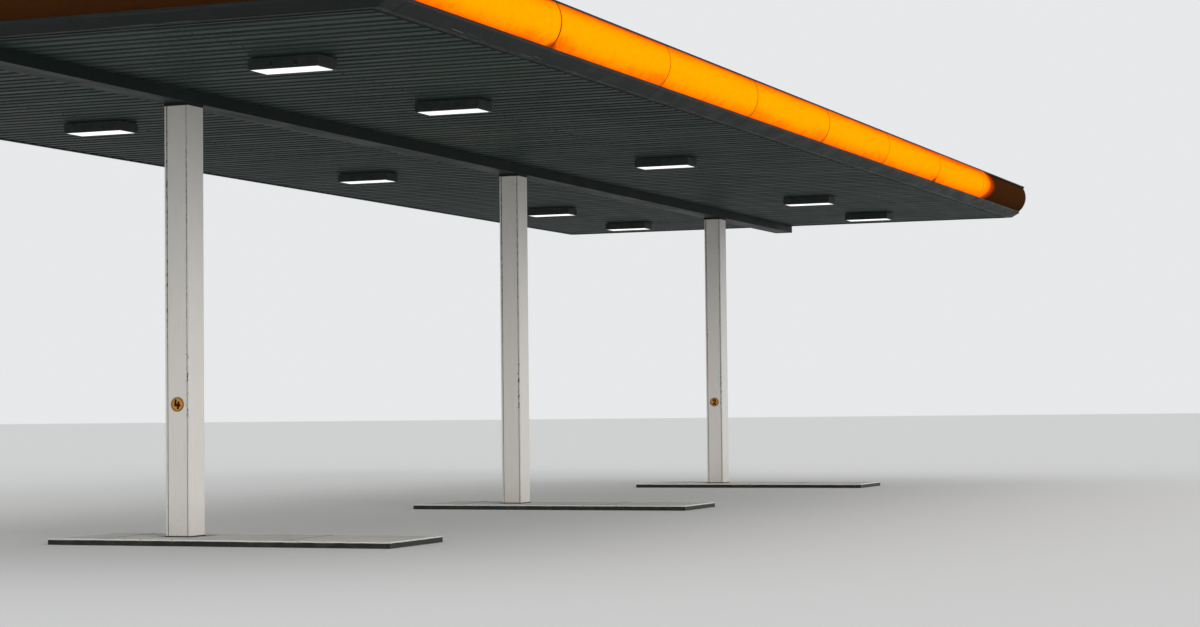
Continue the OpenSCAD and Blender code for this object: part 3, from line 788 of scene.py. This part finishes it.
def islands():
    """Sealed joints across the concrete, and the nosing's countersunk fixings."""
    slab_width, slab_joints = 1.008, (-1.35, 0.62)
    nosing_out, first, spacing, count = 0.5325, -2.36, 0.42, 9
    middles = [middle_x(f"island_{n}") for n in (1, 2, 3)]
    seal = pattern(bar("seal_part", [
        (-0.006, 0), (0.006, 0), (0.0045, 0.0012), (-0.0045, 0.0012),
    ], slab_width))
    seals = [((x, y, ISLAND_TOP), UP) for x in middles for y in slab_joints]
    set_out("island_joints", seal, "trim_paint", seals)
    starts = [((x + side * nosing_out, first, ISLAND_TOP), (0, 0, QUARTER))
              for x in middles for side in (-1, 1)]
    set_out("nosing_screws", pan_screw, "nosing_steel", starts, spacing, count, wobble=0.8)


def columns():
    """Collars at the casing, sealant at the feet, and rivets along the side panels."""
    half_x, half_y = COLUMN_HALF
    rivet_out, rivet_line, first, spacing, count = 0.134, 0.092, 0.25, 0.6, 7
    places = [(x, 0.0) for x in COLUMNS]
    foot, head = ISLAND_TOP, CASING_LOW.z
    keep(surround("column_collars", half_x + 0.0005, half_y + 0.0005, [
        (0, head - 0.0002), (0.012, head - 0.0002), (0.012, head - 0.003), (0.003, head - 0.0034),
        (0.003, head - 0.028), (0, head - 0.028),
    ], places), "casing_paint")
    keep(surround("foot_sealant", half_x + 0.0002, half_y + 0.0002, [
        (0, foot), (0.010, foot), (0.007, foot + 0.003), (0.003, foot + 0.008), (0, foot + 0.010),
    ], places), "trim_paint")
    starts = [((x + side * rivet_out, y, foot + first + spacing * n), (0, side * QUARTER, 0))
              for x in COLUMNS for side in (-1, 1) for y in (-rivet_line, rivet_line)
              for n in range(count)]
    set_out("column_rivets", rivet, "column_paint", starts)


def stroke(name, line, width, thick):
    """A round-ended brush stroke through points on a plate's face, given across it and upwards."""
    stations = []
    for i, point in enumerate(line):
        before = (point - line[i - 1]).normalized() if i else (line[1] - point).normalized()
        after = (line[i + 1] - point).normalized() if i < len(line) - 1 else before
        across = Vector((-(before + after).y, (before + after).x)).normalized()
        reach = width / 2 / max(0.55, across.dot(Vector((-before.y, before.x))))
        stations.append((point, across * reach))
    for at, ahead in ((0, line[0] - line[1]), (-1, line[-1] - line[-2])):
        tip, side = stations[at]
        for onward, share in ((0.13, 0.97), (0.25, 0.87), (0.36, 0.69), (0.44, 0.45)):
            place = 0 if at == 0 else len(stations)
            stations.insert(place, (tip + ahead.normalized() * width * onward, side * share))
    outline = [p + side for p, side in stations] + [p - side for p, side in reversed(stations)]
    count = len(outline)
    points = [(x, -p.x, p.y) for x in (0, -thick) for p in outline]
    faces = [[i, i + 1, count - 2 - i, count - 1 - i] for i in range(len(stations) - 1)]
    faces += [[count + i for i in face] for face in faces]
    faces += [[i, (i + 1) % count, count + (i + 1) % count, count + i] for i in range(count)]
    return made(name, points, faces)


def number_plates():
    """Painted figures, a raised rim and two screws on each plate."""
    brush_width, paint, screw_out = 0.0235, 0.0012, 0.0556
    bend, bend_rise = 19, 17
    bends = [math.radians(a) for a in range(170, -31, -20)]
    # Each column's figure as brush strokes, in millimetres
    figures = {
        0: [[(-18, 37), (-22, -7), (25, -10)], [(13, 17), (6, -37)]],
        2: [[(bend * math.cos(a), bend_rise + bend * math.sin(a)) for a in bends]
            + [(8, -4), (-19, -31), (22, -34)]],
    }
    rim = pattern(turned("rim_part", [
        (0.0615, -0.0002), (0.0625, 0.0009), (0.0640, 0.0013), (0.0665, 0.0012), (0.0682, -0.0002),
    ], 48, hollow=True))
    faces = [COLUMNS[n] + PLATE_FACE for n in figures]
    set_out("number_rims", rim, "number_disc", [((x, 0, PLATE_HEIGHT), WEST) for x in faces])
    screws = [((x, 0, PLATE_HEIGHT + side * screw_out), WEST) for x in faces for side in (-1, 1)]
    set_out("number_screws", pan_screw, "zinc", screws, wobble=1.5)
    for n, lines in figures.items():
        for i, line in enumerate(lines):
            points = [Vector(p) / 1000 for p in line]
            brush = pattern(stroke("figure_part", points, brush_width, paint + 0.0003 * i))
            set_out(f"figure_{n + 1}_{i + 1}", brush, "former_paint",
                    [((COLUMNS[n] + PLATE_FACE, 0, PLATE_HEIGHT), UP)])


# ---- Soffit, casing and roof ----

def soffit():
    """A closing trim round the soffit, and the sheets' screws along the rails."""
    width, metal = 0.085, 0.0015
    top, foot = SOFFIT_Z - 0.0002, SOFFIT_Z - 0.010
    keep(surround("soffit_trim", HALF_LENGTH - 0.0005, HALF_WIDTH - 0.0005, [
        (0, top), (-width, top), (-width, foot), (metal - width, foot),
        (metal - width, top - metal), (0, top - metal),
    ], [(0, 0)]), "trim_paint")
    starts = [((-FIRST_FLAT, side * y, SOFFIT_Z), (0, HALF_TURN, 0)) for y in RAILS for side in (-1, 1)]
    set_out("soffit_screws", hex_screw, "casing_paint", starts, RIB_PITCH, RIB_COUNT, wobble=0.5)


def casing():
    """Riveted cover straps over the casing's joints."""
    strap_count, strap_spacing = 6, 3.9
    rivets_across, rivets_up = (-0.11, 0, 0.11), (0.03, 0.085)
    half, foot = CASING_HIGH.y, CASING_LOW.z
    inner, outer, top = half + 0.0002, half + 0.0016, SOFFIT_Z - 0.002
    strap = pattern(bar("strap_part", [
        (outer, top), (outer, foot - 0.0016), (-outer, foot - 0.0016), (-outer, top),
        (-inner, top), (-inner, foot - 0.0002), (inner, foot - 0.0002), (inner, top),
    ], COVER_WIDTH))
    joints = [(n - (strap_count - 1) / 2) * strap_spacing for n in range(strap_count)]
    set_out("casing_straps", strap, "casing_paint", [((x, 0, 0), UP) for x in joints])
    below = [((x + dx, y, foot - 0.0016), DOWN) for x in joints for dx in RIVET_PAIR
             for y in rivets_across]
    beside = [((x + dx, side * outer, foot + up), (-side * QUARTER, 0, 0))
              for x in joints for dx in RIVET_PAIR for up in rivets_up for side in (-1, 1)]
    set_out("casing_rivets", rivet, "casing_paint", below + beside)


def roof():
    """Roof screws on the sheets, and the gutter's brackets and strainers."""
    screw_lines, gutter_edge, outlets_x = (0.3, 1.95, 3.6), 0.1, (-4.0, 4.0)
    stay_half, stay_thick, stay_width, stay_drop = 0.0965, 0.003, 0.03, 0.006
    stay_spacing, stay_count = 1.05, 21
    slope = math.atan(ROOF_SLOPE)
    valley = SOFFIT_Z + VALLEY_RISE
    starts = []
    for side in (-1, 1):
        for y in screw_lines:
            height = valley + (y - gutter_edge) * ROOF_SLOPE + SHEET / math.cos(slope)
            starts.append(((FIRST_FLAT, side * y, height), (side * slope, 0, 0)))
    set_out("roof_screws", hex_screw, "zinc", starts, RIB_PITCH, RIB_COUNT, wobble=0.5)
    stay = pattern(bar("stay_part", [
        (-stay_half, -stay_thick), (stay_half, -stay_thick), (stay_half, 0), (-stay_half, 0),
    ], stay_width))
    first = (-(stay_count - 1) / 2 * stay_spacing, 0, valley - stay_drop)
    set_out("gutter_stays", stay, "zinc", [(first, UP)], stay_spacing, stay_count)
    outlets = [((x, 0, SOFFIT_Z + GUTTER_FLOOR), UP) for x in outlets_x]
    baskets = strainer_plan().grow(starts_host("gutter_strainers", outlets), Radius=0.055,
                                   Height=0.05, Wires=10, Wire=0.0018, Finish=FINISHES["zinc"])
    keep(baskets, "zinc")


# ---- Light box ----

def bulge_line(offset, steps=14):
    """Points up the panels' outer face, moved outwards by an offset."""
    chord = FASCIA_TOP - FASCIA_FOOT
    outward = Vector((chord.y, -chord.x)).normalized()
    radius = (chord.length_squared / 4 + FASCIA_BULGE ** 2) / (2 * FASCIA_BULGE)
    centre = (FASCIA_FOOT + FASCIA_TOP) / 2 - outward * (radius - FASCIA_BULGE)
    first = math.atan2(FASCIA_FOOT.y - centre.y, FASCIA_FOOT.x - centre.x)
    last = math.atan2(FASCIA_TOP.y - centre.y, FASCIA_TOP.x - centre.x)
    line = []
    for i in range(steps + 1):
        angle = first + (last - first) * i / steps
        line.append(centre + (radius + offset) * Vector((math.cos(angle), math.sin(angle))))
    return [(p.x, p.y) for p in line]


def light_box():
    """Strips over the panels' joints, riveted covers on the rail's joints and clips on the coping's."""
    strip_width, strip_root, clip_width, metal, rivet_height = 0.009, 0.002, 0.06, 0.0014, 0.086
    widest = -FASCIA_LOW.y - HALF_WIDTH
    joints = [on_side(*joint) for joint in fascia_joints()]
    face = [(min(out, widest), height) for out, height in bulge_line(metal)]
    strip = pattern(bar("joint_part", face + bulge_line(-strip_root)[::-1], strip_width))
    set_out("fascia_joints", strip, "former_paint", joints)
    cover = pattern(bar("cover_part", [
        (0.007, 0.0020), (0.1214, 0.0688), (RAIL_FACE, 0.098), (RAIL_FACE - metal, 0.098),
        (0.1200, 0.0702), (0.0060, 0.0038),
    ], COVER_WIDTH))
    set_out("rail_covers", cover, "trim_paint", joints)
    head, foot, hook = LIP_HEAD - 0.002, LIP_FOOT - 0.0015, LIP_OUT - 0.0055
    clip = pattern(bar("clip_part", [
        (LIP_OUT, head), (LIP_OUT + metal, head), (LIP_OUT + metal, foot),
        (hook, foot), (hook, LIP_FOOT - 0.0002), (LIP_OUT, LIP_FOOT - 0.0002),
    ], clip_width))
    set_out("coping_clips", clip, "trim_paint", joints)
    rivets = [facing_out(side, along + dx, RAIL_FACE, rivet_height)
              for side, along in fascia_joints() for dx in RIVET_PAIR]
    set_out("rail_rivets", rivet, "trim_paint", rivets)


# ---- Luminaires ----

def luminaires():
    """Fluted diffusers in their rims, frame screws, and toggles on the housings' long sides."""
    screw_inset, toggle_width, toggle_off, toggle_up = 0.0065, 0.024, 0.12, 0.034
    middles = [(x, y) for x in LAMP_X for y in LAMP_Y]
    half_x, half_y = DIFFUSER_HALF
    pitch = 2 * half_x / FLUTES
    flute = pattern(bar("flute_part", [
        (-pitch / 2, -0.0002), (-pitch / 2, -0.0010), (-pitch / 4, -0.0023), (0, -0.0028),
        (pitch / 4, -0.0023), (pitch / 2, -0.0010), (pitch / 2, -0.0002),
    ], 2 * half_y))
    flutes = [((x - half_x + pitch / 2 + n * pitch, y, LAMP_BASE), (0, 0, QUARTER))
              for x, y in middles for n in range(FLUTES)]
    set_out("lens_flutes", flute, "lamp_lens", flutes)
    keep(surround("lens_rims", half_x + 0.0001, half_y + 0.0001, [
        (0, LAMP_BASE - 0.0001), (0, LAMP_BASE - 0.0030), (0.0025, LAMP_BASE - 0.0034),
        (0.0055, LAMP_BASE - 0.0022), (0.0060, LAMP_BASE - 0.0001),
    ], middles), "lamp_paint")
    screw_x, screw_y = (half - screw_inset for half in LAMP_HALF)
    screws = [((x + sx * screw_x, y + sy * screw_y, LAMP_BASE), DOWN) for x, y in middles
              for sx in (-1, 1) for sy in (-1, 1)]
    set_out("lamp_screws", pan_screw, "zinc", screws, wobble=1.5)
    toggle = pattern(bar("toggle_part", [
        (0, -0.020), (0.0045, -0.020), (0.0085, -0.012), (0.0085, -0.004),
        (0.0055, 0.006), (0.0055, 0.016), (0.0025, 0.021), (0, 0.021),
    ], toggle_width))
    toggles = [((x + side * LAMP_HALF[0], y + dy, LAMP_BASE + toggle_up), (0, 0, -side * QUARTER))
               for x, y in middles for dy in (-toggle_off, toggle_off) for side in (-1, 1)]
    set_out("lamp_toggles", toggle, "lamp_paint", toggles)


islands()
columns()
number_plates()
soffit()
casing()
roof()
light_box()
luminaires()
for item in patterns:
    bpy.data.objects.remove(item)


# ---- Studio ----

FLOOR_SIZE = 500
SKY_STRENGTH = 0.72
SUN_POWER, SUN_SPREAD = 1.55, math.radians(35)
SUN_HEADING = Vector((0.52, 0.80, -0.29))


def studio():
    """Pale floor, pale world, and one low, soft lamp from the front and the near end."""
    bpy.ops.mesh.primitive_plane_add(size=FLOOR_SIZE, location=(0, 0, 0))
    floor = bpy.context.object
    floor.name = "floor"
    ground = Finish("floor_paint", Roughness=0.9, Specular_IOR_Level=0.1)
    ground.shader.inputs["Base Color"].default_value = rgb(0.74, 0.74, 0.73)
    floor.data.materials.append(ground.material)

    world = bpy.data.worlds.new("studio")
    bpy.context.scene.world = world
    world.use_nodes = True
    nodes, links = world.node_tree.nodes, world.node_tree.links
    sky = nodes["Background"]
    sky.inputs["Color"].default_value = rgb(0.955, 0.98, 1.0)
    sky.inputs["Strength"].default_value = SKY_STRENGTH
    backdrop = nodes.new("ShaderNodeBackground")
    backdrop.inputs["Color"].default_value = rgb(0.80, 0.81, 0.82)
    mixed = nodes.new("ShaderNodeMixShader")
    path = nodes.new("ShaderNodeLightPath")
    seen = path.outputs["Is Camera Ray"]
    for ray in ("Is Glossy Ray", "Is Transmission Ray"):
        either = nodes.new("ShaderNodeMath")
        either.operation = "MAXIMUM"
        links.new(seen, either.inputs[0])
        links.new(path.outputs[ray], either.inputs[1])
        seen = either.outputs[0]
    links.new(seen, mixed.inputs[0])
    links.new(sky.outputs[0], mixed.inputs[1])
    links.new(backdrop.outputs[0], mixed.inputs[2])
    links.new(mixed.outputs[0], nodes["World Output"].inputs["Surface"])

    lamp = bpy.data.lights.new("key", "SUN")
    lamp.energy = SUN_POWER
    lamp.angle = SUN_SPREAD
    lamp.color = (1.0, 0.950, 0.895)
    key = bpy.data.objects.new("key", lamp)
    key.rotation_mode = "QUATERNION"
    key.rotation_quaternion = SUN_HEADING.to_track_quat("-Z", "Y")
    bpy.context.scene.collection.objects.link(key)


def camera():
    """Puts the camera where the photograph was taken from."""
    forward = Vector((
        math.cos(HEADING) * math.cos(PITCH), math.sin(HEADING) * math.cos(PITCH), math.sin(PITCH)
    ))
    right = Vector((math.sin(HEADING), -math.cos(HEADING), 0))
    up = right.cross(forward)
    right, up = (
        right * math.cos(ROLL) + up * math.sin(ROLL),
        up * math.cos(ROLL) - right * math.sin(ROLL),
    )
    lens = bpy.data.cameras.new("camera")
    lens.lens = LENS_MM
    lens.clip_end = FLOOR_SIZE
    eye = bpy.data.objects.new("camera", lens)
    eye.matrix_world = Matrix.Translation(EYE) @ Matrix((right, up, -forward)).transposed().to_4x4()
    bpy.context.scene.collection.objects.link(eye)
    bpy.context.scene.camera = eye


studio()
camera()
view = bpy.context.scene.view_settings
view.view_transform = "Standard"
